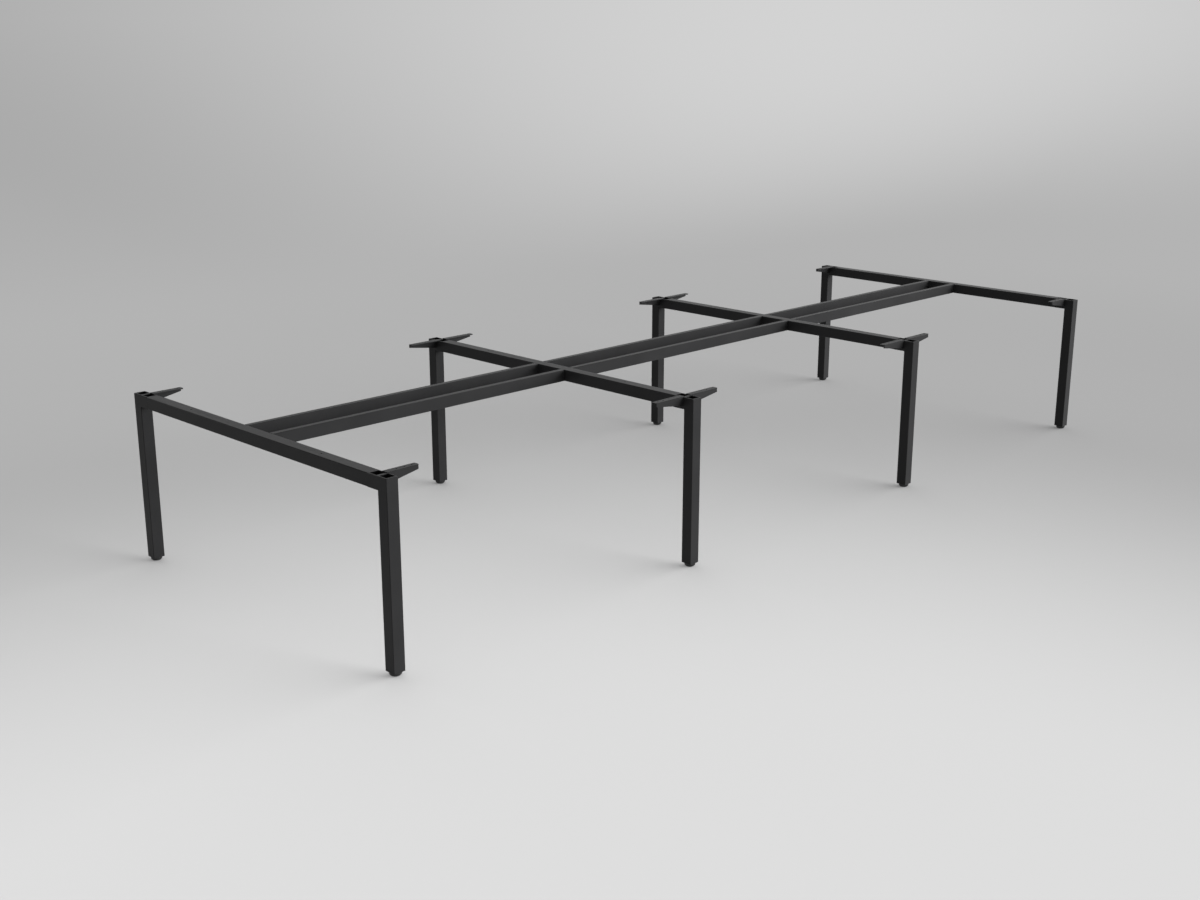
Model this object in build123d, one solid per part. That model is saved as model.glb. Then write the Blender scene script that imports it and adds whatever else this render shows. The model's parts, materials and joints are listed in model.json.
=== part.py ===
"""Bench desk frame for six worktops.

Four portal frames of square steel tube stand in a row and are joined by two lines of long beams.
At every leg top a cast corner joins leg and rail, and carries the wings that the worktops screw to.
X runs along the beams, Y across the bench, and Z up from the floor. The origin is on the floor, under
the middle of the frame. All sizes are in millimetres.
"""
import os

from build123d import *

# Overall layout
WORKTOP_PITCH = 1560.0      # middle bay, rail centre to rail centre, one worktop wide
END_INSET = 30.0            # end rail's centre line, in from the end of the last worktop
FRAME_DEPTH = 1685.0        # over the outer faces of the legs
FRAME_HEIGHT = 720.0        # floor to the top of the rails, with the feet screwed in
FRAME_COUNT = 4

# Square tube of the legs and the cross rails
TUBE = 50.0
TUBE_WALL = 2.0
TUBE_RADIUS = 2.5           # outside corner radius
NUT_PLATE = 6.0             # thickness of the threaded plate welded inside a tube end

# Long beams of rectangular tube
BEAM_WIDTH = 25.0
BEAM_HEIGHT = 50.0
BEAM_WALL = 1.5
BEAM_RADIUS = 2.0           # outside corner radius
BEAM_OFFSET = 83.5          # beam's centre line from the middle of the bench
BEAM_END_GAP = 0.5          # between a beam's end and the rail's face
STUB_LENGTH = 60.0          # of the stub on the rail that a beam slides over
STUB_WALL = 2.0
STUB_CLEARANCE = 0.3        # between stub and beam, all round

# Cast corner: a block over the leg and the rail end, with two open pockets
CASTING_LENGTH = 107.0      # along the rail, from the leg's outer face
SIDE_WALL = 6.0
END_WALL = 7.0
POCKET_RIB = 14.0           # between the two pockets
POCKET_DEPTH = 40.0
POCKET_RADIUS = 2.0
LEG_SPIGOT_LENGTH = 35.0    # reach of the casting into the leg
RAIL_SPIGOT_LENGTH = 13.0   # reach into the rail, short so that the bolt can be laid in its pocket
SPIGOT_WALL = 3.0
SPIGOT_CHAMFER = 1.5
SPIGOT_CLEARANCE = 0.2      # between spigot and tube, all round
SPIGOT_END_GAP = 1.0        # between a spigot's end and the nut plate

# Wing of the casting that carries a worktop: a flange with a tapering skirt on its outer edge
WING_REACH = 186.0          # tip, from the line where two worktops meet
WING_OUTER = 53.0           # wing's outer edge, from the leg's outer face
WING_WIDTH = 26.5
WING_RISE = 3.0             # wing's top above the rail's top
WING_FLANGE = 4.0           # flange thickness
WING_SKIRT = 4.0            # skirt thickness
WING_ROOT_DEPTH = 40.0      # skirt height where it leaves the block
WING_TIP_DEPTH = 16.0       # skirt height at the tip
WING_TIP_RADIUS = 6.0
WORKTOP_HOLE = 6.5          # diameter of the holes for worktop screws
WORKTOP_HOLE_FIRST = 98.0   # first hole in a wing, from the line where two worktops meet
WORKTOP_HOLE_TIP_INSET = 22.0   # last hole in a wing, from its tip
WORKTOP_HOLE_COUNT = 3
RAIL_HOLE_INSET = 405.0     # worktop hole in a rail, from the leg's outer face
KEY_HOLE = 14.0             # diameter of the hole below it, for the screwdriver

# Bolts and screws, with plain shanks
BOLT = 10.0                 # shank diameter of the bolts in the castings
BOLT_CLEARANCE = 0.3        # round the shank
BOLT_HEAD_FLATS = 16.0
BOLT_HEAD_HEIGHT = 6.4
BOLT_THREAD_END = 3.0       # bolt standing out behind the nut plate
BEAM_SCREW = 6.0
BEAM_SCREW_CLEARANCE = 0.3
BEAM_SCREW_HEAD_FLATS = 10.0
BEAM_SCREW_HEAD_HEIGHT = 4.0
BEAM_SCREW_INSET = 30.0     # from the rail's face
BEAM_SCREW_END = 4.0        # screw standing out inside the stub

# Levelling foot: a moulded pad with a steel stud, and the plug in the leg that the stud screws into
FOOT_HEIGHT = 15.0          # floor to the leg tube's end
FOOT_TOP_GAP = 0.3          # between the pad and the tube's end when screwed right in
PAD_DIAMETER = 46.0
PAD_BASE_DIAMETER = 34.0
PAD_BEVEL_HEIGHT = 6.5
STUD = 10.0                 # stud diameter
STUD_LENGTH = 52.0          # above the pad
STUD_CLEARANCE = 0.06       # between the stud and its plug, all round
STUD_HEAD_FLATS = 17.0      # hexagon head, sunk in the pad
STUD_HEAD_HEIGHT = 6.0
STUD_HEAD_CLEARANCE = 0.15  # between the head and the pad, all round
PLUG_HEIGHT = 30.0
PLUG_CLEARANCE = 0.2        # between plug and tube, all round
PLUG_CHAMFER = 1.5

# Places worked out from those sizes
END_BAY = WORKTOP_PITCH - END_INSET
FRAME_LENGTH = 2 * END_BAY + (FRAME_COUNT - 3) * WORKTOP_PITCH
RAIL_BOTTOM = FRAME_HEIGHT - TUBE
RAIL_MIDDLE = FRAME_HEIGHT - TUBE / 2
OUTER_FACE = -FRAME_DEPTH / 2
LEG_CENTRE = OUTER_FACE + TUBE / 2
RAIL_END = OUTER_FACE + CASTING_LENGTH
TUBE_BORE = TUBE - 2 * TUBE_WALL
SPIGOT = TUBE_BORE - 2 * SPIGOT_CLEARANCE
POCKET_WIDTH = TUBE - 2 * SIDE_WALL
POCKET_LENGTH = (CASTING_LENGTH - 2 * END_WALL - POCKET_RIB) / 2
POCKET_FLOOR = FRAME_HEIGHT - POCKET_DEPTH
FLOOR_THICKNESS = TUBE - POCKET_DEPTH
BOLT_HOLE = BOLT + 2 * BOLT_CLEARANCE
BOLT_GRIP_END = SPIGOT_END_GAP + NUT_PLATE + BOLT_THREAD_END
BEAM_SCREW_HOLE = BEAM_SCREW + 2 * BEAM_SCREW_CLEARANCE
STUB_WIDTH = BEAM_WIDTH - 2 * (BEAM_WALL + STUB_CLEARANCE)
STUB_HEIGHT = BEAM_HEIGHT - 2 * (BEAM_WALL + STUB_CLEARANCE)
BEAM_MIDDLE = FRAME_HEIGHT - BEAM_HEIGHT / 2
CUT_MARGIN = 1.0            # how far a cutting shape reaches past the face that it cuts

SIDES = {"right": 1, "left": -1}
STANDING = (Align.CENTER, Align.CENTER, Align.MIN)
HANGING = (Align.CENTER, Align.CENTER, Align.MAX)


def frame_centres():
    """X of each portal frame's centre line, from the first frame to the last."""
    first = -FRAME_LENGTH / 2
    inner = [first + END_BAY + index * WORKTOP_PITCH for index in range(FRAME_COUNT - 2)]
    return [first] + inner + [-first]


def rounded_tube(width, height, wall, radius, length):
    """Rectangular tube along Z, standing on the origin, with its corners rounded outside and sharp inside."""
    outside = RectangleRounded(width, height, radius)
    inside = Rectangle(width - 2 * wall, height - 2 * wall)
    return extrude(outside - inside, amount=length)


def square_tube(length):
    """Tube of the legs and rails, standing on the origin."""
    return rounded_tube(TUBE, TUBE, TUBE_WALL, TUBE_RADIUS, length)


def along_y(shape):
    """Lay a shape that stands along Z down along +Y."""
    return Rot(X=-90) * shape


def along_x(shape):
    """Lay a shape that stands along Z down along +X, with its own X upright."""
    return Rot(Y=90) * shape


def cross_hole(diameter, length):
    """Cutting cylinder along Z that reaches past both ends of the given length."""
    drill = Cylinder(diameter / 2, length + 2 * CUT_MARGIN, align=STANDING)
    return Pos(0, 0, -CUT_MARGIN) * drill


def hexagon(flats, height):
    """Hexagonal prism standing on the origin."""
    return extrude(RegularPolygon(flats / 2, 6, major_radius=False), amount=height)


def hex_bolt(flats, head_height, diameter, length):
    """Hexagon bolt along -Z: the seat of its head is at the origin and its shank hangs below."""
    return hexagon(flats, head_height) + Cylinder(diameter / 2, length, align=HANGING)


def corner_bolt(length):
    """Bolt of a cast corner, with its seat at the origin and its shank hanging below."""
    return hex_bolt(BOLT_HEAD_FLATS, BOLT_HEAD_HEIGHT, BOLT, length)


def nut_plate():
    """Threaded plate that fills a tube's bore, standing on the origin."""
    plate = Box(TUBE_BORE, TUBE_BORE, NUT_PLATE, align=STANDING)
    return plate - cross_hole(BOLT_HOLE, NUT_PLATE)


def hollow_spigot(length):
    """Square hollow spigot along Z with chamfered corners, standing on the origin."""
    core = SPIGOT - 2 * SPIGOT_WALL
    outside = chamfer(Rectangle(SPIGOT, SPIGOT).vertices(), SPIGOT_CHAMFER)
    return extrude(outside - Rectangle(core, core), amount=length)


def corner_block():
    """Body of the cast corner, with its two pockets, spigots and bolt holes."""
    block = Pos(0, OUTER_FACE, RAIL_BOTTOM) * Box(
        TUBE, CASTING_LENGTH, TUBE, align=(Align.CENTER, Align.MIN, Align.MIN))
    top_edges = block.edges().group_by(Axis.Z)[-1].filter_by(Axis.Y)
    outer_edges = block.faces().sort_by(Axis.Y)[0].edges() - block.edges().group_by(Axis.Z)[0]
    block = fillet(top_edges + outer_edges, TUBE_RADIUS)

    pocket_plan = RectangleRounded(POCKET_WIDTH, POCKET_LENGTH, POCKET_RADIUS)
    pocket = extrude(pocket_plan, amount=POCKET_DEPTH + CUT_MARGIN)
    first_pocket = OUTER_FACE + END_WALL + POCKET_LENGTH / 2
    for index in range(2):
        pocket_y = first_pocket + index * (POCKET_LENGTH + POCKET_RIB)
        block -= Pos(0, pocket_y, POCKET_FLOOR) * pocket

    block += Pos(0, LEG_CENTRE, RAIL_BOTTOM - LEG_SPIGOT_LENGTH) * hollow_spigot(LEG_SPIGOT_LENGTH)
    block += Pos(0, RAIL_END, RAIL_MIDDLE) * along_y(hollow_spigot(RAIL_SPIGOT_LENGTH))
    block -= Pos(0, LEG_CENTRE, RAIL_BOTTOM) * cross_hole(BOLT_HOLE, FLOOR_THICKNESS)
    block -= Pos(0, RAIL_END - END_WALL, RAIL_MIDDLE) * along_y(cross_hole(BOLT_HOLE, END_WALL))
    return block


def wing(tip):
    """Wing towards +X on the right-hand casting, with its tip at the given distance from the rail's centre.

    Its root lies in the block's side wall, in front of the rib between the pockets.
    """
    face = TUBE / 2
    root = face - SIDE_WALL
    top = FRAME_HEIGHT + WING_RISE
    outer = OUTER_FACE + WING_OUTER
    plan = Pos((root + tip) / 2, outer + WING_WIDTH / 2) * Rectangle(tip - root, WING_WIDTH)
    plan = fillet(plan.vertices().group_by(Axis.X)[-1], WING_TIP_RADIUS)
    body = extrude(Pos(0, 0, top) * plan, amount=-WING_ROOT_DEPTH)

    below = Polyline(
        (face, top - WING_ROOT_DEPTH),
        (tip, top - WING_TIP_DEPTH),
        (tip + CUT_MARGIN, top - WING_TIP_DEPTH),
        (tip + CUT_MARGIN, top - WING_ROOT_DEPTH - CUT_MARGIN),
        (face, top - WING_ROOT_DEPTH - CUT_MARGIN),
        close=True)
    body -= extrude(Plane.XZ * make_face(below), amount=FRAME_DEPTH, both=True)
    inside = Box(tip, WING_WIDTH, WING_ROOT_DEPTH, align=(Align.MIN, Align.MIN, Align.MAX))
    return body - Pos(face, outer + WING_SKIRT, top - WING_FLANGE) * inside


def wing_holes(inset):
    """Cutting cylinders for a wing's worktop screws, with the row moved in by the given inset."""
    hole_y = OUTER_FACE + WING_OUTER + WING_WIDTH / 2
    bottom = FRAME_HEIGHT + WING_RISE - WING_FLANGE
    drill = cross_hole(WORKTOP_HOLE, WING_FLANGE)
    last = WING_REACH - WORKTOP_HOLE_TIP_INSET
    pitch = (last - WORKTOP_HOLE_FIRST) / (WORKTOP_HOLE_COUNT - 1)
    places = [last - inset - index * pitch for index in range(WORKTOP_HOLE_COUNT)]
    return [Pos(place, hole_y, bottom) * drill for place in places]


def corner_casting(end_frame):
    """Right-hand casting about X = 0: one wing towards +X on an end frame, or one each way."""
    inset = END_INSET if end_frame else 0.0
    drilled = wing(WING_REACH - inset)
    for drill in wing_holes(inset):
        drilled -= drill
    casting = corner_block() + drilled
    if not end_frame:
        casting += mirror(drilled, about=Plane.YZ)
    return casting


def leg():
    """Right-hand leg about X = 0: a square tube with the nut plate welded in below the spigot."""
    tube = Pos(0, LEG_CENTRE, FOOT_HEIGHT) * square_tube(RAIL_BOTTOM - FOOT_HEIGHT)
    plate_bottom = RAIL_BOTTOM - LEG_SPIGOT_LENGTH - SPIGOT_END_GAP - NUT_PLATE
    return tube + Pos(0, LEG_CENTRE, plate_bottom) * nut_plate()


def cross_rail():
    """Rail about X = 0, with a nut plate near each end and a worktop hole on each side."""
    length = FRAME_DEPTH - 2 * CASTING_LENGTH
    rail = Pos(0, RAIL_END, RAIL_MIDDLE) * along_y(square_tube(length))
    plate_y = RAIL_END + RAIL_SPIGOT_LENGTH + SPIGOT_END_GAP
    plate = Pos(0, plate_y, RAIL_MIDDLE) * along_y(nut_plate())
    rail += plate
    rail += mirror(plate, about=Plane.XZ)
    hole_y = OUTER_FACE + RAIL_HOLE_INSET
    for place in (hole_y, -hole_y):
        rail -= Pos(0, place, FRAME_HEIGHT - TUBE_WALL) * cross_hole(WORKTOP_HOLE, TUBE_WALL)
        rail -= Pos(0, place, RAIL_BOTTOM) * cross_hole(KEY_HOLE, TUBE_WALL)
    return rail


def beam_stub():
    """Stub on the rail face at the origin, pointing to +X, with a tapped hole in its lower wall."""
    outside = Rectangle(STUB_HEIGHT, STUB_WIDTH)
    inside = Rectangle(STUB_HEIGHT - 2 * STUB_WALL, STUB_WIDTH - 2 * STUB_WALL)
    stub = along_x(extrude(outside - inside, amount=STUB_LENGTH))
    drill = cross_hole(BEAM_SCREW_HOLE, STUB_WALL)
    return stub - Pos(BEAM_SCREW_INSET, 0, -STUB_HEIGHT / 2) * drill


def long_beam(bay_length):
    """Beam about the middle of its bay, with a screw hole near each end of its lower wall."""
    length = bay_length - TUBE - 2 * BEAM_END_GAP
    beam = along_x(rounded_tube(BEAM_HEIGHT, BEAM_WIDTH, BEAM_WALL, BEAM_RADIUS, length))
    beam = Pos(-length / 2, 0, 0) * beam
    hole_x = bay_length / 2 - TUBE / 2 - BEAM_SCREW_INSET
    for place in (hole_x, -hole_x):
        beam -= Pos(place, 0, -BEAM_HEIGHT / 2) * cross_hole(BEAM_SCREW_HOLE, BEAM_WALL)
    return beam


def beam_screw():
    """Screw that goes up through a beam's lower wall: the seat of its head is at the origin."""
    reach = BEAM_WALL + STUB_CLEARANCE + STUB_WALL + BEAM_SCREW_END
    return Rot(X=180) * hex_bolt(BEAM_SCREW_HEAD_FLATS, BEAM_SCREW_HEAD_HEIGHT, BEAM_SCREW, reach)


def foot_plug():
    """Plug in the bottom of the right-hand leg about X = 0, bored for the foot's stud."""
    width = TUBE_BORE - 2 * PLUG_CLEARANCE
    plug = extrude(chamfer(Rectangle(width, width).vertices(), PLUG_CHAMFER), amount=PLUG_HEIGHT)
    plug -= cross_hole(STUD + 2 * STUD_CLEARANCE, PLUG_HEIGHT)
    return Pos(0, LEG_CENTRE, FOOT_HEIGHT) * plug


def foot_pad():
    """Round pad under the right-hand leg about X = 0, with a seat for the stud's head in its top."""
    top = FOOT_HEIGHT - FOOT_TOP_GAP
    half_section = Polyline(
        (0, 0),
        (PAD_BASE_DIAMETER / 2, 0),
        (PAD_DIAMETER / 2, PAD_BEVEL_HEIGHT),
        (PAD_DIAMETER / 2, top),
        (0, top),
        close=True)
    pad = revolve(Plane.XZ * make_face(half_section), Axis.Z)
    seat = hexagon(STUD_HEAD_FLATS + 2 * STUD_HEAD_CLEARANCE, STUD_HEAD_HEIGHT + CUT_MARGIN)
    return Pos(0, LEG_CENTRE, 0) * (pad - Pos(0, 0, top - STUD_HEAD_HEIGHT) * seat)


def foot_stud():
    """Stud of the right-hand foot about X = 0, with its head flush in the pad's top."""
    top = FOOT_HEIGHT - FOOT_TOP_GAP
    head = Pos(0, 0, -STUD_HEAD_HEIGHT) * hexagon(STUD_HEAD_FLATS, STUD_HEAD_HEIGHT)
    return Pos(0, LEG_CENTRE, top) * (head + Cylinder(STUD / 2, STUD_LENGTH, align=STANDING))


def save(shape, name):
    """Write one node to its own file."""
    export_step(shape, f"parts/{name}.step")


def placed(shape, centre_x, side):
    """Copy of a right-hand piece on the frame at centre_x, mirrored for the left-hand side."""
    sided = shape if SIDES[side] > 0 else mirror(shape, about=Plane.XZ)
    return Pos(centre_x, 0, 0) * sided


def build_portal_frames():
    """Legs, feet, castings and rails of every portal frame, and the bolts that hold them together."""
    end_casting = corner_casting(True)
    middle_casting = corner_casting(False)
    pieces = {"leg": leg(), "foot_plug": foot_plug(), "foot_pad": foot_pad(), "foot_stud": foot_stud()}
    rail = cross_rail()
    leg_bolt = corner_bolt(FLOOR_THICKNESS + LEG_SPIGOT_LENGTH + BOLT_GRIP_END)
    leg_bolt = Pos(0, LEG_CENTRE, POCKET_FLOOR) * leg_bolt
    rail_bolt = Rot(X=90) * corner_bolt(END_WALL + RAIL_SPIGOT_LENGTH + BOLT_GRIP_END)
    rail_bolt = Pos(0, RAIL_END - END_WALL, RAIL_MIDDLE) * rail_bolt
    leg_bolts = []
    rail_bolts = []
    for number, centre_x in enumerate(frame_centres(), start=1):
        save(Pos(centre_x, 0, 0) * rail, f"cross_rail_{number}")
        if number == 1:
            casting = end_casting
        elif number == FRAME_COUNT:
            casting = mirror(end_casting, about=Plane.YZ)
        else:
            casting = middle_casting
        for side in SIDES:
            save(placed(casting, centre_x, side), f"corner_casting_{number}_{side}")
            for name, piece in pieces.items():
                save(placed(piece, centre_x, side), f"{name}_{number}_{side}")
            leg_bolts.append(placed(leg_bolt, centre_x, side))
            rail_bolts.append(placed(rail_bolt, centre_x, side))
    save(Compound(children=leg_bolts), "leg_bolts")
    save(Compound(children=rail_bolts), "rail_bolts")


def build_beams():
    """Long beams of every bay, with the stubs that they slide over and their screws."""
    screw = beam_screw()
    stub = beam_stub()
    far_stub = mirror(stub, about=Plane.YZ)
    stubs = []
    screws = []
    centres = frame_centres()
    for bay, (start, stop) in enumerate(zip(centres, centres[1:]), start=1):
        beam = long_beam(stop - start)
        near_face = start + TUBE / 2
        far_face = stop - TUBE / 2
        for side, sign in SIDES.items():
            beam_y = -sign * BEAM_OFFSET
            save(Pos((start + stop) / 2, beam_y, BEAM_MIDDLE) * beam, f"long_beam_{bay}_{side}")
            stubs.append(Pos(near_face, beam_y, BEAM_MIDDLE) * stub)
            stubs.append(Pos(far_face, beam_y, BEAM_MIDDLE) * far_stub)
            for place in (near_face + BEAM_SCREW_INSET, far_face - BEAM_SCREW_INSET):
                screws.append(Pos(place, beam_y, FRAME_HEIGHT - BEAM_HEIGHT) * screw)
    save(Compound(children=stubs), "beam_stubs")
    save(Compound(children=screws), "beam_screws")


os.makedirs("parts", exist_ok=True)
build_portal_frames()
build_beams()
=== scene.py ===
"""Looks of the bench desk frame: its black coats, its feet and fasteners, and a plain studio.

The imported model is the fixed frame. Tubes, castings and plugs keep their solids and get softened edges
and a procedural coat. Feet, bolts and screws are worked out here with their rounded edges and threads.
All lengths are in metres, in the model's own frame: X along the bench, Y across it and Z up.
"""
import bpy
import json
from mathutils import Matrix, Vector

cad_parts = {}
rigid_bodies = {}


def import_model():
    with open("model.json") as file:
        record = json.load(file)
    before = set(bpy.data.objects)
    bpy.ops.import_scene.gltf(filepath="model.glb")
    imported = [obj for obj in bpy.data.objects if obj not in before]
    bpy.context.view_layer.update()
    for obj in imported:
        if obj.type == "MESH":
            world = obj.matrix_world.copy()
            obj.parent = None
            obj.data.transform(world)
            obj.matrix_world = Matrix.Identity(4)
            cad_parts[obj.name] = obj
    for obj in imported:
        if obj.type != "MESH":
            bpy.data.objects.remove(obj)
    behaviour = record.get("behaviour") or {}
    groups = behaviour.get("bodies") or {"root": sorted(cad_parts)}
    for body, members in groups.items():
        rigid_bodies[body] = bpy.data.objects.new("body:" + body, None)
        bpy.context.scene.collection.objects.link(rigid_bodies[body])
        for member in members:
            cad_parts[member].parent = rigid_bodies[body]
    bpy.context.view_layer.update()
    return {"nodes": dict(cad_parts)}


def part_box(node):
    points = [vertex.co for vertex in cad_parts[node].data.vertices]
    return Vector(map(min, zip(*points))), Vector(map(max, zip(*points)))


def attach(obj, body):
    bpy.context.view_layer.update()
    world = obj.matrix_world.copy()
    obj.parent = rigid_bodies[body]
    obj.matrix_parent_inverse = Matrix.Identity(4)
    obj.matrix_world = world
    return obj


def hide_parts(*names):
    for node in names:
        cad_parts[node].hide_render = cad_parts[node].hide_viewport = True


for leftover in list(bpy.data.objects):
    bpy.data.objects.remove(leftover)
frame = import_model()

import json
import logging
from abc import ABC, abstractmethod
from dataclasses import dataclass
from enum import Enum
from typing import Any, Iterable, Sequence

import bmesh
import numpy as np
from mathutils import Euler, Vector

LOG = logging.getLogger("desk_frame")
MERGE_DISTANCE = 2e-6
COLUMNS = 48
CREASE_DEG = 32.0
SOFTENED_ABOVE_DEG = 34.0
SOFTENED_SEGMENTS = 2
DIAGONAL = 0.5 ** 0.5
WHITE = (1.0, 1.0, 1.0, 1.0)
SHOWING_RAYS = ("Is Camera Ray", "Is Glossy Ray", "Is Transmission Ray")
Colour = tuple[float, float, float]


class Side(Enum):
    """The two long sides of the bench."""

    RIGHT = "right"
    LEFT = "left"


class Slot(Enum):
    """Material slots of the record that the feet and fasteners take."""

    PAD = "pad_plastic"
    ZINC = "zinc_steel"
    BLACK = "black_steel"


class Signal:
    """A shader socket that can stand in sums; each sum adds its Math nodes to the sheet."""

    def __init__(self, sheet: "NodeSheet", socket: bpy.types.NodeSocket) -> None:
        """Wrap one output socket of a sheet."""
        self.sheet = sheet
        self.socket = socket

    def __add__(self, other: "Signal | float") -> "Signal":
        """Sum of two signals."""
        return self.sheet.math("ADD", self, other)

    def __sub__(self, other: "Signal | float") -> "Signal":
        """Difference of two signals."""
        return self.sheet.math("SUBTRACT", self, other)

    def __rsub__(self, other: float) -> "Signal":
        """A number less this signal."""
        return self.sheet.math("SUBTRACT", other, self)

    def __mul__(self, other: "Signal | float") -> "Signal":
        """Product of two signals."""
        return self.sheet.math("MULTIPLY", self, other)

    def __truediv__(self, other: "Signal | float") -> "Signal":
        """Ratio of two signals."""
        return self.sheet.math("DIVIDE", self, other)

    def __rtruediv__(self, other: float) -> "Signal":
        """A number over this signal."""
        return self.sheet.math("DIVIDE", other, self)

    def __pow__(self, other: "Signal | float") -> "Signal":
        """This signal raised to a power."""
        return self.sheet.math("POWER", self, other)

    __radd__ = __add__
    __rmul__ = __mul__


class NodeSheet:
    """A node tree that nodes are added to by type, settings and sockets."""

    def __init__(self, tree: bpy.types.NodeTree) -> None:
        """Start from an empty tree."""
        self.tree = tree
        tree.nodes.clear()

    def add(self, kind: str, settings: dict[str, Any] | None = None,
            sockets: dict[str | int, Any] | None = None) -> bpy.types.Node:
        """Add one node.

        Args:
            kind: The node's type.
            settings: Properties of the node, set before its sockets.
            sockets: Values or signals for its inputs, by name or index.

        Returns:
            The new node.
        """
        node = self.tree.nodes.new(kind)
        for name, value in (settings or {}).items():
            setattr(node, name, value)
        for key, value in (sockets or {}).items():
            if isinstance(value, Signal):
                self.tree.links.new(value.socket, node.inputs[key])
            else:
                node.inputs[key].default_value = value
        return node

    def signal(self, kind: str, output: str | int, settings: dict[str, Any] | None = None,
               sockets: dict[str | int, Any] | None = None) -> Signal:
        """Add one node and return one of its outputs as a signal."""
        return Signal(self, self.add(kind, settings, sockets).outputs[output])

    def math(self, operation: str, *terms: "Signal | float") -> Signal:
        """Math node on one, two or three terms."""
        return self.signal("ShaderNodeMath", 0, {"operation": operation}, dict(enumerate(terms)))

    def place(self, stretch: Sequence[float] = (1.0, 1.0, 1.0)) -> Signal:
        """Object coordinates in metres, scaled along each axis by stretch."""
        here = self.signal("ShaderNodeTexCoord", "Object")
        return self.signal("ShaderNodeMapping", 0, {"vector_type": "POINT"},
                           {"Vector": here, "Scale": tuple(stretch)})

    def noise(self, place: Signal, grain: float, detail: float = 2.0, rough: float = 0.5) -> Signal:
        """Noise from 0 to 1 whose blotches are about one grain (in metres) wide."""
        return self.signal("ShaderNodeTexNoise", 0, {"noise_dimensions": "3D"},
                           {"Vector": place, "Scale": 1.0 / grain, "Detail": detail, "Roughness": rough})

    def blend(self, share: Signal, first: "Signal | Colour", second: "Signal | Colour") -> Signal:
        """Colour that goes from the first to the second as share goes from 0 to 1."""
        ends = [end if isinstance(end, Signal) else (*end, 1.0) for end in (first, second)]
        return self.signal("ShaderNodeMix", 2, {"data_type": "RGBA", "clamp_factor": True},
                           {0: share, 6: ends[0], 7: ends[1]})

    def ease(self, value: Signal, low: float, high: float) -> Signal:
        """Smooth step of a value from 0 at low to 1 at high."""
        return self.signal("ShaderNodeMapRange", 0, {"interpolation_type": "SMOOTHSTEP"},
                           {0: value, 1: low, 2: high, 3: 0.0, 4: 1.0})

    def axes(self, place: Signal) -> tuple[Signal, Signal, Signal]:
        """X, Y and Z of a place or direction."""
        parts = self.add("ShaderNodeSeparateXYZ", {}, {0: place})
        return tuple(Signal(self, parts.outputs[index]) for index in range(3))

    def within(self, value: Signal, low: float, high: float, fade: float) -> Signal:
        """1 between low and high, and 0 from a fade outside them."""
        return self.ease(value, low - fade, low) * (1.0 - self.ease(value, high, high + fade))

    def grey(self, tone: Signal) -> Signal:
        """Grey of the given tone."""
        return self.signal("ShaderNodeCombineColor", 0, {}, {0: tone, 1: tone, 2: tone})

    def seen(self) -> Signal:
        """Tell the rays that show the background: from the camera, a reflection or through glass.

        Returns:
            1 for such a ray and 0 for any other.
        """
        path = self.add("ShaderNodeLightPath")
        camera, glossy, clear = (Signal(self, path.outputs[name]) for name in SHOWING_RAYS)
        return self.math("MINIMUM", camera + glossy + clear, 1.0)

    def bump(self, height: Signal, distance: float) -> Signal:
        """Normal of a relief whose height signal is worth distance metres at 1."""
        return self.signal("ShaderNodeBump", 0, {},
                           {"Height": height, "Distance": distance, "Strength": 1.0})


def shaded(colour: Colour, share: float) -> Colour:
    """Colour with each of its parts times a share."""
    return tuple(share * part for part in colour)


class Finish(ABC):
    """A surface finish that becomes one material."""

    name: str

    def material(self) -> bpy.types.Material:
        """Make the material at its first use.

        Returns:
            The material of this finish.
        """
        made = bpy.data.materials.get(self.name)
        if made is None:
            made = bpy.data.materials.new(self.name)
            made.use_nodes = True
            sheet = NodeSheet(made.node_tree)
            shader = sheet.add("ShaderNodeBsdfPrincipled", {}, self.sockets(sheet))
            sheet.add("ShaderNodeOutputMaterial", {}, {"Surface": Signal(sheet, shader.outputs[0])})
            LOG.info("finish %s", self.name)
        return made

    @abstractmethod
    def sockets(self, sheet: NodeSheet) -> dict[str | int, Any]:
        """Work out what feeds the shader.

        Args:
            sheet: Node tree of the material.

        Returns:
            Values and signals of the shader's sockets, by name.
        """


@dataclass(frozen=True)
class PowderCoat(Finish):
    """Black powder coat: a fine orange peel over a broader flow, with a faint mottle in tone and gloss."""

    name: str
    tone: Colour
    roughness: float
    gloss: float = 0.095
    peel: float = 0.0011
    peel_height: float = 0.00006
    flow: float = 0.007
    flow_height: float = 0.00012
    cloud: float = 0.16
    cloud_share: float = 0.55
    cloud_dulling: float = 0.10
    peel_dulling: float = 0.12
    fleck: float = 0.0004
    deep: float = 0.70
    pale: float = 1.45

    def sockets(self, sheet: NodeSheet) -> dict[str | int, Any]:
        """Peel and flow make the relief; a hand-wide cloud and a fine fleck vary tone and gloss.

        Args:
            sheet: Node tree of the material.

        Returns:
            Values and signals of the shader's sockets, by name.
        """
        here = sheet.place()
        peel = sheet.noise(here, self.peel, detail=1.0)
        flow = sheet.noise(here, self.flow, detail=1.0)
        cloud = sheet.noise(here, self.cloud)
        fleck = sheet.noise(here, self.fleck, detail=0.0)
        mottle = self.cloud_share * cloud + (1.0 - self.cloud_share) * fleck
        ripple = self.flow_height / self.peel_height
        dulling = self.cloud_dulling * (cloud - 0.5) + self.peel_dulling * (peel - 0.5)
        return {
            "Base Color": sheet.blend(mottle, shaded(self.tone, self.deep), shaded(self.tone, self.pale)),
            "Roughness": self.roughness + dulling,
            "Specular IOR Level": self.gloss,
            "Normal": sheet.bump(peel + ripple * flow, self.peel_height),
        }


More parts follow.
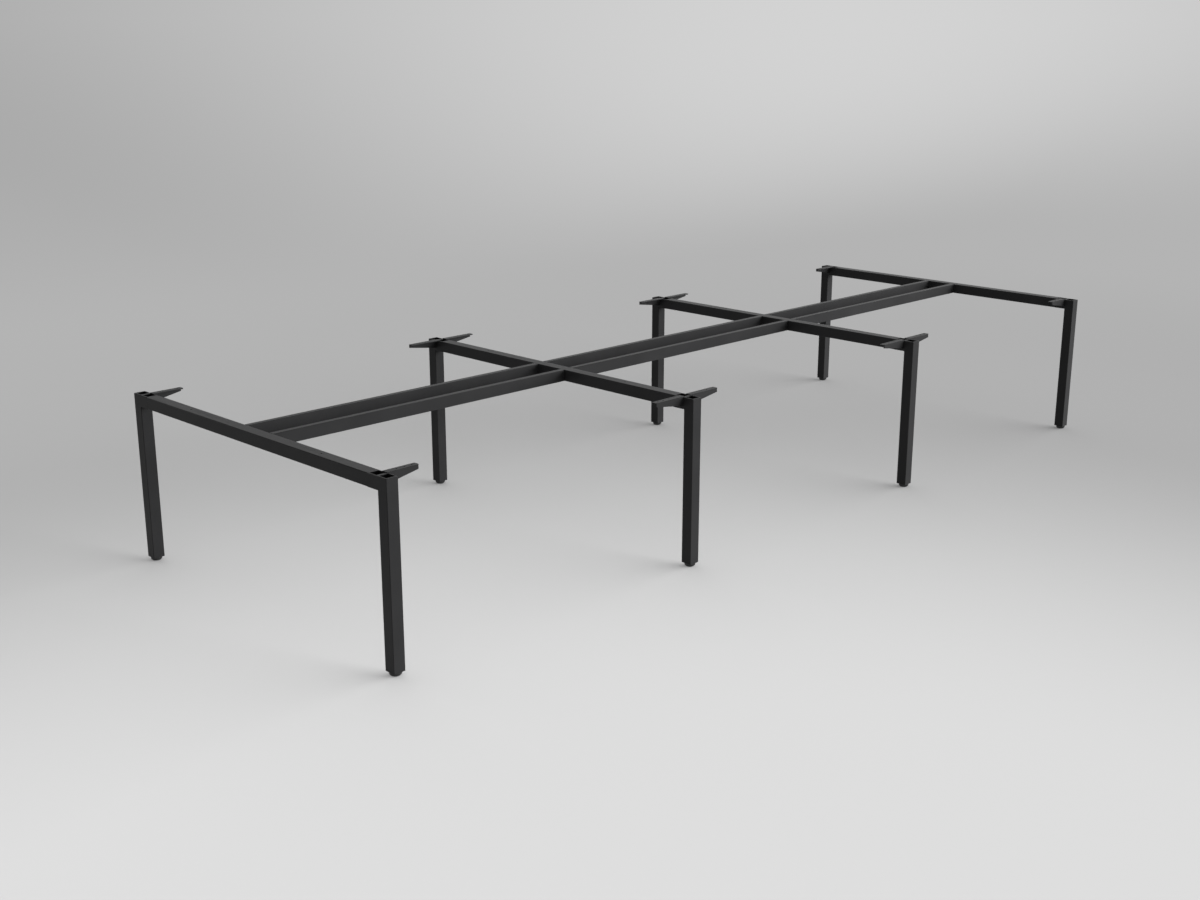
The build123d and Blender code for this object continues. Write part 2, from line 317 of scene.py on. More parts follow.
@dataclass(frozen=True)
class CastCoat(PowderCoat):
    """Powder coat of the castings, with painted shade in their pockets: a near-black, matt tone."""

    # Painted shade in the pockets: its near-black tone and its roughness.
    pocket_shade: Colour = (0.0030, 0.0030, 0.0031)
    pocket_shade_roughness: float = 0.80
    side_wall: float = 0.0060
    end_wall: float = 0.0070
    length: float = 0.107
    pocket_depth: float = 0.040
    rim: float = 0.0009
    fade: float = 0.0006

    def pockets(self, sheet: NodeSheet) -> Signal:
        """Mask the pockets, where shade is painted.

        All castings are folded onto one: Y by its size, and X by its distance from the nearest rail.

        Args:
            sheet: Node tree of the material.

        Returns:
            1 inside the pockets and 0 elsewhere.
        """
        x, y, z = sheet.axes(sheet.place())
        leg_low, leg_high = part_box("leg_1_left")
        inner, outer = (middle(f"cross_rail_{number}").x for number in (3, 4))
        half_tube = 0.5 * (leg_high.x - leg_low.x)
        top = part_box("cross_rail_1")[1].z
        from_bay = sheet.math("ABSOLUTE", sheet.math("ABSOLUTE", x) - 0.5 * (inner + outer))
        aside = sheet.math("ABSOLUTE", from_bay - 0.5 * (outer - inner))
        out = sheet.math("ABSOLUTE", y)
        across = sheet.within(aside, -half_tube, half_tube - self.side_wall, self.fade)
        end = leg_high.y - self.end_wall
        along = sheet.within(out, leg_high.y - self.length + self.end_wall, end, self.fade)
        return across * along * sheet.within(z, top - self.pocket_depth, top - self.rim, self.fade)

    def sockets(self, sheet: NodeSheet) -> dict[str | int, Any]:
        """The coat's own sockets, with painted shade in the pockets: a near-black tone and more dullness.

        Args:
            sheet: Node tree of the material.

        Returns:
            Values and signals of the shader's sockets, by name.
        """
        coat = super().sockets(sheet)
        pocket_shade_mask = self.pockets(sheet)
        # Painted shade: inside the pockets the coat is blended to a near-black, matt tone.
        coat["Base Color"] = sheet.blend(pocket_shade_mask, coat["Base Color"], self.pocket_shade)
        coat["Roughness"] = coat["Roughness"] + pocket_shade_mask * (self.pocket_shade_roughness - coat["Roughness"])
        return coat


@dataclass(frozen=True)
class MouldedPlastic(Finish):
    """Black moulded plastic with an eroded mould texture and a soft sheen."""

    name: str
    tone: Colour
    roughness: float
    grain: float = 0.0006
    depth: float = 0.00004
    cloud: float = 0.02
    cloud_share: float = 0.50
    cloud_dulling: float = 0.08
    hollow_dulling: float = 0.16
    deep: float = 0.75
    pale: float = 1.50

    def sockets(self, sheet: NodeSheet) -> dict[str | int, Any]:
        """A two-scale grain gives the relief; its hollows are duller, and darker with painted shade.

        Args:
            sheet: Node tree of the material.

        Returns:
            Values and signals of the shader's sockets, by name.
        """
        here = sheet.place()
        grain = sheet.noise(here, self.grain, detail=3.0, rough=0.6)
        cloud = sheet.noise(here, self.cloud)
        # Random tone from the cloud, plus painted shade: the grain's hollows take the darker tone.
        mottle = self.cloud_share * cloud + (1.0 - self.cloud_share) * grain
        dulling = self.hollow_dulling * (0.5 - grain) + self.cloud_dulling * (cloud - 0.5)
        return {
            "Base Color": sheet.blend(mottle, shaded(self.tone, self.deep), shaded(self.tone, self.pale)),
            "Roughness": self.roughness + dulling,
            "Normal": sheet.bump(grain, self.depth),
        }


@dataclass(frozen=True)
class PlatedSteel(Finish):
    """Plated or blackened steel: metal with clouded plating and fine lines from its drawing."""

    name: str
    tone: Colour
    tint: Colour
    roughness: float
    line: float = 0.0003
    line_stretch: float = 0.06
    line_dulling: float = 0.18
    depth: float = 0.000012
    cloud: float = 0.006
    cloud_dulling: float = 0.12

    def sockets(self, sheet: NodeSheet) -> dict[str | int, Any]:
        """A cloud mixes the plating's two tints, and lines stretched along Z vary gloss and relief.

        Args:
            sheet: Node tree of the material.

        Returns:
            Values and signals of the shader's sockets, by name.
        """
        lines = sheet.noise(sheet.place((1.0, 1.0, self.line_stretch)), self.line)
        cloud = sheet.noise(sheet.place(), self.cloud, detail=3.0)
        dulling = self.line_dulling * (lines - 0.5) + self.cloud_dulling * (cloud - 0.5)
        return {
            "Metallic": 1.0,
            "Base Color": sheet.blend(cloud, self.tone, self.tint),
            "Roughness": self.roughness + dulling,
            "Normal": sheet.bump(lines, self.depth),
        }


TUBE_COAT = PowderCoat("tube_powder_coat", (0.0175, 0.0175, 0.0179), 0.36)
# The castings' coat paints shade into their pockets.
CAST_COAT = CastCoat("casting_powder_coat", (0.0180, 0.0180, 0.0184), 0.38,
                     flow=0.004, flow_height=0.00016)
PAD_PLASTIC = MouldedPlastic("pad_black_plastic", (0.0110, 0.0110, 0.0112), 0.55)
PLUG_PLASTIC = MouldedPlastic("plug_black_plastic", (0.0125, 0.0125, 0.0127), 0.50)
ZINC_PLATE = PlatedSteel("zinc_plated_steel", (0.60, 0.62, 0.64), (0.66, 0.64, 0.57), 0.32)
BLACK_OXIDE = PlatedSteel("black_oxide_steel", (0.055, 0.055, 0.058), (0.085, 0.080, 0.076), 0.42)


@dataclass(frozen=True)
class Surface:
    """Points and four-sided faces of a surface worked out on a grid.

    Attributes:
        points: Array of shape (points, 3).
        quads: Array of shape (faces, 4) of point numbers, turning outwards.
    """

    points: np.ndarray
    quads: np.ndarray

    def placed(self, turn: Euler, shift: Sequence[float]) -> "Surface":
        """Copy turned about the origin and then shifted."""
        matrix = np.array(turn.to_matrix())
        return Surface(self.points @ matrix.T + np.asarray(shift, float), self.quads)

    @staticmethod
    def joined(surfaces: Iterable["Surface"]) -> "Surface":
        """Join surfaces, with each one's point numbers moved past those before it.

        Args:
            surfaces: The surfaces, in place.

        Returns:
            One surface of them all.
        """
        parts = list(surfaces)
        starts = np.cumsum([0] + [len(part.points) for part in parts[:-1]])
        quads = [part.quads + start for part, start in zip(parts, starts)]
        return Surface(np.concatenate([part.points for part in parts]), np.concatenate(quads))


def column_angles(columns: int = COLUMNS) -> np.ndarray:
    """Angles of a ring's points, evenly spaced from 0."""
    return 2.0 * np.pi * np.arange(columns) / columns


def ring_surface(radii: np.ndarray, heights: np.ndarray, lead: int = 0) -> Surface:
    """Surface of stacked rings.

    Point (row, column) lies at the column's angle, at radii[row, column] from the Z axis and at
    heights[row, column]. The last column joins the first one lead rows higher, which makes a screw.

    Args:
        radii: Array of shape (rows, columns).
        heights: Array of the same shape.
        lead: Rows that one turn climbs.

    Returns:
        The surface, open at its first and last ring.
    """
    rows, columns = radii.shape
    angle = column_angles(columns)
    points = np.stack([radii * np.cos(angle), radii * np.sin(angle), heights], axis=-1).reshape(-1, 3)
    row, column = np.meshgrid(np.arange(rows - 1), np.arange(columns), indexing="ij")
    climb = np.where(column == columns - 1, lead, 0)
    across = (column + 1) % columns
    near = np.minimum(row + climb, rows - 1)
    far = np.minimum(row + 1 + climb, rows - 1)
    corners = [row * columns + column, near * columns + across, far * columns + across,
               (row + 1) * columns + column]
    return Surface(points, np.stack(corners, axis=-1).reshape(-1, 4))


def revolved(profile: np.ndarray, columns: int = COLUMNS) -> Surface:
    """Surface of revolution of a profile of (radius, height) points, from bottom to top."""
    radii, heights = np.repeat(profile[:, :, None], columns, axis=2).transpose(1, 0, 2)
    return ring_surface(radii, heights)


def rounded_profile(corners: Sequence[tuple[float, float, float]], steps: int = 6) -> np.ndarray:
    """Profile through corners of (radius, height, rounding).

    A corner with a rounding becomes the arc of that radius that touches both of its runs: its centre
    lies on the bisector, and its ends at rounding / tan(half the corner's angle) along the runs.

    Args:
        corners: Corners from the first to the last; the ends stay sharp.
        steps: Runs of each arc.

    Returns:
        Array of shape (points, 2).
    """
    places = np.array([corner[:2] for corner in corners])
    pieces = [places[:1]]
    for before, here, after, corner in zip(places, places[1:], places[2:], corners[1:]):
        back = (before - here) / np.linalg.norm(before - here)
        ahead = (after - here) / np.linalg.norm(after - here)
        half = 0.5 * np.arccos(np.clip(back @ ahead, -1.0, 1.0))
        rounding = corner[2]
        if rounding == 0.0:
            pieces.append(here[None, :])
            continue
        reach = rounding / np.tan(half)
        bisector = (back + ahead) / np.linalg.norm(back + ahead)
        centre = here + bisector * rounding / np.sin(half)
        first = here + back * reach - centre
        last = here + ahead * reach - centre
        turn = np.arccos(np.clip(first @ last / rounding ** 2, -1.0, 1.0))
        share = np.linspace(0.0, 1.0, steps + 1)[:, None]
        swing = np.sin((1.0 - share) * turn) * first + np.sin(share * turn) * last
        pieces.append(centre + swing / np.sin(turn))
    pieces.append(places[-1:])
    return np.concatenate(pieces)


def hexagon_radius(flats: float, angle: np.ndarray) -> np.ndarray:
    """Radius of a hexagon: half its flats over the cosine of the angle from a flat's middle."""
    sector = np.pi / 3.0
    return 0.5 * flats / np.cos((angle + 0.5 * sector) % sector - 0.5 * sector)


@dataclass(frozen=True)
class MetricThread:
    """Right-hand metric thread along Z.

    Its section repeats once a pitch: a crest an eighth of the pitch wide, a root a quarter wide, and
    straight flanks between them. Four rows follow the section's corners along the helix.
    """

    radius: float
    pitch: float
    corner_shares: tuple[float, ...] = (-1 / 16, 1 / 16, 6 / 16, 10 / 16)
    corner_depths: tuple[float, ...] = (0.0, 0.0, 1.0, 1.0)
    depth_share: float = 0.613

    @property
    def root(self) -> float:
        """Radius at the bottom of the thread."""
        return self.radius - self.depth_share * self.pitch

    def surface(self, start: float, stop: float, columns: int = COLUMNS) -> Surface:
        """Threaded length from a chamfered end at start to a run-out into the full shank at stop.

        A point climbs by one pitch a turn and is held between start and stop. Its radius is held under
        a cone of 45 degrees from the root at start, and above a cone that fills the thread at stop.

        Args:
            start: Height of the free end.
            stop: Height where the plain shank begins.
            columns: Points round the axis.

        Returns:
            A sleeve whose end rings are flat and round.
        """
        corners = len(self.corner_shares)
        turns = int(np.ceil((stop - start) / self.pitch)) + 2
        share = np.add.outer(np.arange(turns), self.corner_shares).ravel()
        depth = np.tile(self.corner_depths, turns) * (self.radius - self.root)
        climb = np.arange(columns) / columns - 1.0
        heights = np.clip(start + self.pitch * np.add.outer(share, climb), start, stop)
        radii = np.broadcast_to((self.radius - depth)[:, None], heights.shape)
        radii = np.minimum(radii, self.root + (heights - start))
        fill = self.radius - (stop - heights) * self.depth_share
        return ring_surface(np.maximum(radii, fill), heights, lead=corners)


@dataclass(frozen=True)
class HexBolt:
    """Hexagon bolt along -Z, with the seat of its head at the origin."""

    flats: float
    head_height: float
    diameter: float
    pitch: float
    length: float
    thread_length: float
    washer_share: float = 0.95
    chamfer_slope: float = 0.577
    under_chamfer: float = 0.4

    def surface(self) -> Surface:
        """Work out tip, thread, shank and head.

        The head's sides follow the hexagon, and their top edge is cut by a cone of 30 degrees, so it
        dips at the corners in proportion to how far they stand outside the washer circle. The edge
        below is cut in the same way, by a smaller share.

        Returns:
            The closed surface.
        """
        angle = column_angles()
        thread = MetricThread(0.5 * self.diameter, self.pitch)
        run_out = self.thread_length - self.length
        tip = revolved(np.array([(0.0, -self.length), (thread.root, -self.length)]))
        outline = hexagon_radius(self.flats, angle)
        washer = 0.5 * self.washer_share * self.flats
        dip = self.chamfer_slope * (outline - washer)
        level = np.zeros_like(angle)
        radii = np.stack([level + thread.radius, level + thread.radius, level + washer, outline, outline,
                          level + washer, level])
        top = level + self.head_height
        lift = self.under_chamfer * dip
        heights = np.stack([level + run_out, level, level, lift, top - dip, top, top])
        return Surface.joined([tip, thread.surface(-self.length, run_out), ring_surface(radii, heights)])


def mesh_piece(name: str, surface: Surface, finish: Finish, body: str, replaced: str) -> None:
    """Make a piece of the object from a surface.

    Args:
        name: Name of the new object.
        surface: Its points and faces, in place.
        finish: What its surface looks like.
        body: Body that it moves with.
        replaced: Solid that it stands for.
    """
    mesh = bpy.data.meshes.new(name)
    faces = len(surface.quads)
    mesh.vertices.add(len(surface.points))
    mesh.vertices.foreach_set("co", surface.points.astype(np.float32).ravel())
    mesh.loops.add(4 * faces)
    mesh.loops.foreach_set("vertex_index", surface.quads.astype(np.int32).ravel())
    mesh.polygons.add(faces)
    mesh.polygons.foreach_set("loop_start", np.arange(0, 4 * faces, 4, dtype=np.int32))
    mesh.update(calc_edges=True)
    welded = bmesh.new()
    welded.from_mesh(mesh)
    bmesh.ops.remove_doubles(welded, verts=welded.verts, dist=MERGE_DISTANCE)
    bmesh.ops.dissolve_degenerate(welded, edges=welded.edges, dist=MERGE_DISTANCE)
    welded.to_mesh(mesh)
    welded.free()
    mesh.shade_smooth()
    mesh.set_sharp_from_angle(angle=np.radians(CREASE_DEG))
    piece = bpy.data.objects.new(name, mesh)
    bpy.context.scene.collection.objects.link(piece)
    piece.data.materials.append(finish.material())
    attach(piece, body)
    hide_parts(replaced)
    LOG.info("piece %s: %d faces, stands for %s", name, len(mesh.polygons), replaced)


def dress_solid(node: str, finish: Finish, edge: float) -> None:
    """Give a solid its finish and soften its edges.

    Args:
        node: Name of the solid.
        finish: What its surface looks like.
        edge: Width of the softened edges.
    """
    solid = frame["nodes"][node]
    solid.data.materials[0] = finish.material()
    weld = solid.modifiers.new("joined_faces", "WELD")
    weld.merge_threshold = MERGE_DISTANCE
    soften = solid.modifiers.new("softened_edges", "BEVEL")
    soften.width = edge
    soften.segments = SOFTENED_SEGMENTS
    soften.limit_method = "ANGLE"
    soften.angle_limit = np.radians(SOFTENED_ABOVE_DEG)
    soften.harden_normals = True
    LOG.info("solid %s: %s", node, finish.name)


def middle(node: str) -> Vector:
    """Middle of a solid's box."""
    low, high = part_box(node)
    return (low + high) / 2


@dataclass
class PortalFrame:
    """One portal frame: two legs with their plugs, two cast corners and the rail between them."""

    number: int
    tube_edge: float = 0.0005
    casting_edge: float = 0.0008
    plug_edge: float = 0.0006

    def dress(self) -> None:
        """Coat the tubes and castings, and finish the plugs."""
        dress_solid(f"cross_rail_{self.number}", TUBE_COAT, self.tube_edge)
        for side in Side:
            key = f"{self.number}_{side.value}"
            dress_solid(f"leg_{key}", TUBE_COAT, self.tube_edge)
            dress_solid(f"corner_casting_{key}", CAST_COAT, self.casting_edge)
            dress_solid(f"foot_plug_{key}", PLUG_PLASTIC, self.plug_edge)


@dataclass
class LevellingFoot:
    """One levelling foot: a round moulded pad, and the threaded stud that is sunk in it."""

    number: int
    side: Side
    base_radius: float = 0.0170
    bevel_height: float = 0.0065
    base_rounding: float = 0.0022
    bevel_rounding: float = 0.0040
    rim_rounding: float = 0.0010
    seat_clearance: float = 0.00015
    seat_chamfer: float = 0.0004
    stud_diameter: float = 0.010
    stud_pitch: float = 0.0015
    columns: int = 96

    @property
    def key(self) -> str:
        """Number and side, as in the names of the solids."""
        return f"{self.number}_{self.side.value}"

    def pad(self, radius: float, height: float, flats: float, seat_floor: float) -> Surface:
        """Pad about the Z axis: a rounded, bevelled disc with a hexagon seat sunk in its top.

        Args:
            radius: Outer radius.
            height: Height of the top.
            flats: Across the flats of the seat.
            seat_floor: Height of the seat's floor.

        Returns:
            The closed surface.
        """
        outside = rounded_profile([
            (0.0, 0.0, 0.0),
            (self.base_radius, 0.0, self.base_rounding),
            (radius, self.bevel_height, self.bevel_rounding),
            (radius, height, self.rim_rounding),
            (0.5 * flats / np.cos(np.pi / 6.0) + 2.0 * self.seat_chamfer, height, 0.0)], steps=8)
        disc = revolved(outside, self.columns)
        angle = column_angles(self.columns)
        rim = np.full_like(angle, outside[-1, 0])
        wall = hexagon_radius(flats, angle)
        radii = np.stack([rim, wall + self.seat_chamfer, wall, wall, 0.0 * wall])
        steps = [height, height, height - self.seat_chamfer, seat_floor, seat_floor]
        heights = np.repeat(np.array(steps)[:, None], self.columns, axis=1)
        return Surface.joined([disc, ring_surface(radii, heights)])

    def stud(self, flats: float, head_height: float, length: float) -> Surface:
        """Stud about the Z axis, head down, with the top of its head at the origin.

        Args:
            flats: Across the flats of the head.
            head_height: Height of the head.
            length: Length above the head.

        Returns:
            The closed surface.
        """
        threaded = length - self.stud_pitch
        bolt = HexBolt(flats, head_height, self.stud_diameter, self.stud_pitch, length, threaded)
        return bolt.surface().placed(Euler((np.pi, 0.0, 0.0)), (0.0, 0.0, 0.0))

    def build(self) -> None:
        """Make the pad and the stud where their solids are."""
        pad_low, pad_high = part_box(f"foot_pad_{self.key}")
        stud_low, stud_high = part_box(f"foot_stud_{self.key}")
        centre = middle(f"foot_pad_{self.key}")
        stud_width = stud_high - stud_low
        flats = min(stud_width.x, stud_width.y)
        body = f"foot_{self.key}"
        straight = Euler((0.0, 0.0, 0.0))
        radius = 0.5 * (pad_high.x - pad_low.x)
        pad = self.pad(radius, pad_high.z, flats + 2.0 * self.seat_clearance, stud_low.z)
        pad = pad.placed(straight, (centre.x, centre.y, 0.0))
        mesh_piece(f"pad_{self.key}", pad, PAD_PLASTIC, body, f"foot_pad_{self.key}")
        stud = self.stud(flats, pad_high.z - stud_low.z, stud_high.z - pad_high.z)
        stud = stud.placed(straight, (centre.x, centre.y, pad_high.z))
        mesh_piece(f"stud_{self.key}", stud, ZINC_PLATE, body, f"foot_stud_{self.key}")


@dataclass
class CornerBolts:
    """Hexagon bolts in the castings' pockets: one down into each leg and one along into each rail end."""

    frame_count: int
    flats: float = 0.016
    head_height: float = 0.0064
    diameter: float = 0.010
    pitch: float = 0.0015
    thread_length: float = 0.022
    rail_bolt_length: float = 0.030

    def bolt(self, length: float) -> Surface:
        """Bolt of the given length, hanging from the origin."""
        shape = HexBolt(self.flats, self.head_height, self.diameter, self.pitch, length, self.thread_length)
        return shape.surface()

    def build(self) -> None:
        """Make both sets of bolts where their solids are."""
        low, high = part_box("leg_bolts")
        seat = high.z - self.head_height
        leg_bolt = self.bolt(seat - low.z)
        rail_low, rail_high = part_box("rail_bolts")
        rail_bolt = self.bolt(self.rail_bolt_length)
        seats = {
            Side.RIGHT: (rail_low.y + self.head_height, 1.0),
            Side.LEFT: (rail_high.y - self.head_height, -1.0),
        }
        leg_set = []
        rail_set = []
        for number in range(1, self.frame_count + 1):
            rail = middle(f"cross_rail_{number}")
            for side, (seat_y, ahead) in seats.items():
                leg = middle(f"leg_{number}_{side.value}")
                leg_set.append(leg_bolt.placed(Euler((0.0, 0.0, 0.0)), (leg.x, leg.y, seat)))
                lying = Euler((ahead * np.pi / 2.0, 0.0, 0.0))
                rail_set.append(rail_bolt.placed(lying, (rail.x, seat_y, rail.z)))
        leg_bolts = Surface.joined(leg_set)
        rail_bolts = Surface.joined(rail_set)
        mesh_piece("leg_bolt_set", leg_bolts, BLACK_OXIDE, "frame", "leg_bolts")
        mesh_piece("rail_bolt_set", rail_bolts, BLACK_OXIDE, "frame", "rail_bolts")


@dataclass
class BeamLines:
    """The two lines of long beams, the stubs that they slide over and the screws below their ends."""

    bay_count: int
    beam_edge: float = 0.0004
    stub_edge: float = 0.0003
    screw_inset: float = 0.0295
    screw_flats: float = 0.010
    screw_head_height: float = 0.004
    screw_diameter: float = 0.006
    screw_pitch: float = 0.001

    def dress(self) -> None:
        """Coat the beams and stubs."""
        dress_solid("beam_stubs", TUBE_COAT, self.stub_edge)
        for node in self.beams():
            dress_solid(node, TUBE_COAT, self.beam_edge)

    def beams(self) -> list[str]:
        """Names of the beams' solids."""
        return [f"long_beam_{bay}_{side.value}" for bay in range(1, self.bay_count + 1) for side in Side]

    def build(self) -> None:
        """Make the screws where their solids are, each head down under its beam's lower wall."""
        low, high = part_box("beam_screws")
        seat = low.z + self.screw_head_height
        length = high.z - seat
        threaded = length - self.screw_pitch
        screw = HexBolt(self.screw_flats, self.screw_head_height, self.screw_diameter, self.screw_pitch,
                        length, threaded).surface()
        upside_down = Euler((np.pi, 0.0, 0.0))
        screws = []
        for node in self.beams():
            start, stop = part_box(node)
            for place in (start.x + self.screw_inset, stop.x - self.screw_inset):
                screws.append(screw.placed(upside_down, (place, middle(node).y, seat)))
        mesh_piece("beam_screw_set", Surface.joined(screws), ZINC_PLATE, "frame", "beam_screws")


@dataclass(frozen=True)
class Backdrop:
    """Tones far behind the bench: an even shade, and a glow about one heading."""

    shade: float = 0.394
    glow: float = 0.652
    heading_deg: float = 35.6
    spread_deg: float = 40.9

    def tone(self, sheet: NodeSheet, x: Signal, y: Signal) -> Signal:
        """Tone towards a point: the glow falls off smoothly with the angle from its heading.

        Args:
            sheet: Node tree to work in.
            x: X of the point or direction.
            y: Y of the point or direction.

        Returns:
            The tone, from 0 for black to 1 for white.
        """
        heading = sheet.math("ARCTAN2", y, x)
        away = sheet.math("ABSOLUTE", heading - float(np.radians(self.heading_deg)))
        share = 1.0 - sheet.ease(away, 0.0, float(np.radians(self.spread_deg)))
        return self.shade + (self.glow - self.shade) * share


@dataclass(frozen=True)
class SoftBox:
    """Large soft box to the right of the bench, and the room's light: even, overhead and from behind."""

    watts: float = 6500.0
    place: tuple[float, float, float] = (9.3, -7.5, 3.7)
    aim: tuple[float, float, float] = (0.0, 0.0, 0.4)
    size: tuple[float, float] = (20.0, 6.0)
    room: float = 0.32
    overhead: float = 0.80
    behind: float = 3.2
    behind_heading_deg: float = 60.0
    strips: int = 7

    def build(self) -> None:
        """Hang the lamp, turned to its aim, with no picture of itself in view or in a reflection."""
        lamp = bpy.data.lights.new("soft_box", "AREA")
        lamp.shape = "RECTANGLE"
        lamp.size, lamp.size_y = self.size
        lamp.energy = self.watts
        box = bpy.data.objects.new("soft_box", lamp)
        box.location = self.place
        box.rotation_euler = (Vector(self.place) - Vector(self.aim)).to_track_quat("Z", "Y").to_euler()
        box.visible_camera = False
        box.visible_glossy = False
        bpy.context.scene.collection.objects.link(box)

    def on_floor(self, sheet: NodeSheet, x: Signal, y: Signal) -> Signal:
        """Light on the floor at a point, where 1 shows white as white.

        Each strip of the box gives its watts over pi squared, times its height, times how far the point
        lies in front of its face, over the fourth power of the distance. The room adds its even light, a
        third of its overhead light and an eighth of its light from behind.

        Args:
            sheet: Node tree to work in.
            x: X of the point.
            y: Y of the point.

        Returns:
            The light.
        """
        ahead = (Vector(self.aim) - Vector(self.place)).normalized()
        aside = ahead.cross(Vector((0.0, 0.0, 1.0))).normalized()
        height = self.place[2]
        strength = self.watts / self.strips * height / float(np.pi ** 2)
        light = self.room + self.overhead / 3.0 + self.behind / 8.0
        for share in (np.arange(self.strips) + 0.5) / self.strips - 0.5:
            strip = Vector(self.place) + float(share) * self.size[0] * aside
            east = x - strip.x
            north = y - strip.y
            facing = sheet.math("MAXIMUM", ahead.x * east + ahead.y * north - ahead.z * height, 0.0)
            square = east * east + north * north + height ** 2
            light = light + strength * facing / (square * square)
        return light

    def in_room(self, sheet: NodeSheet, towards: tuple[Signal, Signal, Signal]) -> Signal:
        """Light of the room from a direction.

        It is even, plus the overhead light times the fourth power of the direction's Z, plus the light from
        behind the bench times the square of the direction's share along that heading.

        Args:
            sheet: Node tree to work in.
            towards: X, Y and Z of the direction.

        Returns:
            The light.
        """
        x, y, z = towards
        heading = float(np.radians(self.behind_heading_deg))
        along = float(np.cos(heading)) * x + float(np.sin(heading)) * y
        above = self.overhead * sheet.math("MAXIMUM", z, 0.0) ** 4.0
        return self.room + above + self.behind * sheet.math("MAXIMUM", along, 0.0) ** 2.0


@dataclass(frozen=True)
class StudioFloor(Finish):
    """Pale floor: a painted pool of light in front of the bench, fading into the backdrop's tones behind
    it.

    The pool lies about a point in front of the bench, on the diagonal of X and Y. It is half an ellipse
    towards the bench, and opens out like a fan on the other side.
    """

    backdrop: Backdrop
    box: SoftBox
    name: str = "studio_floor"
    # Tone of the painted pool of light, and of the floor's shade away from it.
    pool: float = 0.746
    shade: float = 0.455
    pool_centre: tuple[float, float] = (-6.3, -0.08)
    pool_squeeze: float = 1.39
    pool_reach: tuple[float, float] = (3.75, 7.95)
    pool_stretch: float = 0.2
    pool_fan: float = 0.12
    near_reach: float = 6.67
    far_slant: float = 0.70
    ring_reach: float = 10.05
    least_share: float = 0.01
    glow: float = 0.22
    glow_reach: tuple[float, float] = (4.0, 8.0)

    def sockets(self, sheet: NodeSheet) -> dict[str | int, Any]:
        """Depth and width along the diagonal of X and Y set the tone, with its painted pool of light.

        The share glow of the tone is the floor's own light, and it grows to all of it away from the bench.
        The rest is reflected: it is divided by the light on the floor, so that the tone comes out even.

        Args:
            sheet: Node tree of the material.

        Returns:
            Values and signals of the shader's sockets, by name.
        """
        x, y, _ = sheet.axes(sheet.place())
        depth = (x + y) * DIAGONAL
        width = (x - y) * DIAGONAL
        ahead = depth - self.pool_centre[0]
        aside = self.pool_squeeze * (width - self.pool_centre[1])
        fan = 1.0 + self.pool_fan * sheet.math("MAXIMUM", -1.0 * ahead, 0.0)
        near = sheet.math("MAXIMUM", ahead, -self.pool_stretch * ahead)
        reach = (near ** 2.0 + (aside / fan) ** 2.0) ** 0.5
        # Painted light: the bright pool in front of the bench, fading to the darker shade around it.
        front = self.pool - (self.pool - self.shade) * sheet.ease(reach, *self.pool_reach)
        radius = (x * x + y * y) ** 0.5
        slanted = (depth - self.far_slant * width) / self.near_reach
        beyond = sheet.math("MAXIMUM", slanted, radius / self.ring_reach)
        far = 1.0 - sheet.ease(1.0 / sheet.math("MAXIMUM", beyond, self.least_share), 0.0, 1.0)
        tone = front + far * (self.backdrop.tone(sheet, x, y) - front)
        own = self.glow + (1.0 - self.glow) * sheet.ease(radius, *self.glow_reach)
        return {
            "Base Color": sheet.grey((1.0 - own) * tone / self.box.on_floor(sheet, x, y)),
            "Roughness": 1.0,
            "Specular IOR Level": 0.0,
            "Emission Color": sheet.grey(own * tone * sheet.seen()),
            "Emission Strength": 1.0,
        }


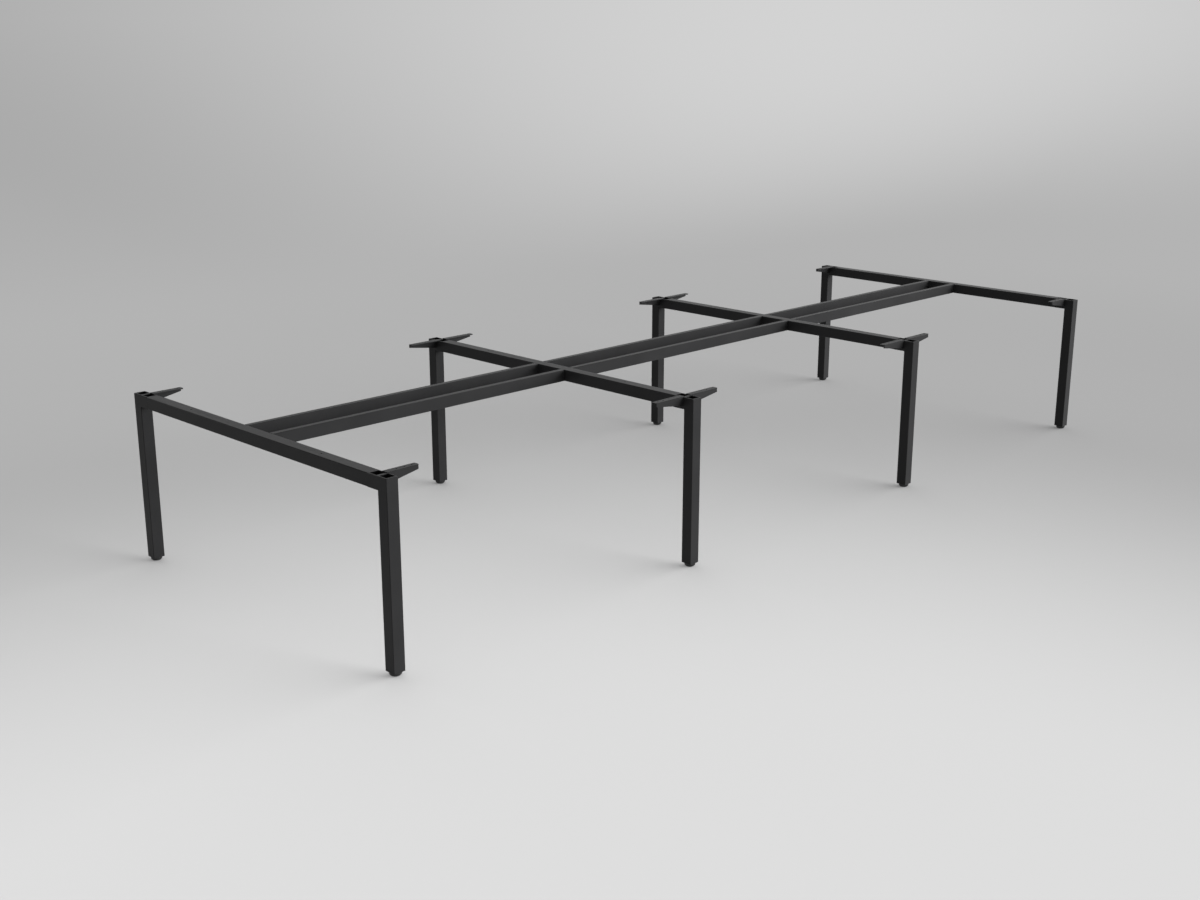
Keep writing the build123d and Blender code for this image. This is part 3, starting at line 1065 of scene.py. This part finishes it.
@dataclass
class Studio:
    """Floor, light and camera round the bench."""

    backdrop: Backdrop = Backdrop()
    box: SoftBox = SoftBox()
    floor_half: float = 2000.0
    sight: float = 6000.0
    eye: tuple[float, float, float] = (-5.190749, -4.699772, 2.185024)
    heading_deg: float = 45.0
    pitch_deg: float = -16.04
    lens_mm: float = 45.0
    sensor_mm: float = 36.0

    def build(self) -> None:
        """Make the floor, the light and the camera."""
        self.lay_floor()
        self.light()
        self.box.build()
        self.aim_camera()

    def lay_floor(self) -> None:
        """One large square, level with the feet."""
        reach = self.floor_half * np.array([(-1, -1), (1, -1), (1, 1), (-1, 1)], float)
        corners = np.column_stack([reach, np.zeros(4)])
        mesh = bpy.data.meshes.new("floor")
        mesh.from_pydata(corners.tolist(), [], [(0, 1, 2, 3)])
        floor = bpy.data.objects.new("floor", mesh)
        coat = StudioFloor(self.backdrop, self.box).material()
        coat.cycles.emission_sampling = "NONE"
        floor.data.materials.append(coat)
        bpy.context.scene.collection.objects.link(floor)

    def light(self) -> None:
        """The room's light, which shows the backdrop's tones where it is seen."""
        scene = bpy.context.scene
        scene.view_settings.view_transform = "Standard"
        scene.world = bpy.data.worlds.new("studio_sky")
        scene.world.use_nodes = True
        sheet = NodeSheet(scene.world.node_tree)
        towards = sheet.signal("ShaderNodeTexCoord", "Generated")
        x, y, z = sheet.axes(towards)
        unseen = self.box.in_room(sheet, (x, y, z))
        level = unseen + sheet.seen() * (self.backdrop.tone(sheet, x, y) - unseen)
        sky = sheet.signal("ShaderNodeBackground", 0, {}, {"Strength": level, "Color": WHITE})
        sheet.add("ShaderNodeOutputWorld", {}, {"Surface": sky})

    def aim_camera(self) -> None:
        """Camera at the picture's viewing angle, for a frame of 1200 by 900."""
        lens = bpy.data.cameras.new("camera")
        lens.lens = self.lens_mm
        lens.sensor_fit = "HORIZONTAL"
        lens.sensor_width = self.sensor_mm
        lens.clip_end = self.sight
        camera = bpy.data.objects.new("camera", lens)
        camera.location = self.eye
        tilt, turn = np.radians([90.0 + self.pitch_deg, self.heading_deg - 90.0])
        camera.rotation_euler = Euler((tilt, 0.0, turn))
        bpy.context.scene.collection.objects.link(camera)
        bpy.context.scene.camera = camera


@dataclass
class DeskFrame:
    """The whole bench frame."""

    frame_count: int = 4

    def build(self) -> None:
        """Dress the solids, and make the feet, bolts and screws."""
        for number in range(1, self.frame_count + 1):
            PortalFrame(number).dress()
            for side in Side:
                LevellingFoot(number, side).build()
        CornerBolts(self.frame_count).build()
        beams = BeamLines(self.frame_count - 1)
        beams.dress()
        beams.build()


def main() -> None:
    """Build the desk frame and its studio."""
    logging.basicConfig(level=logging.INFO, format="%(name)s: %(message)s")
    DeskFrame().build()
    Studio().build()


if __name__ == "__main__":
    main()
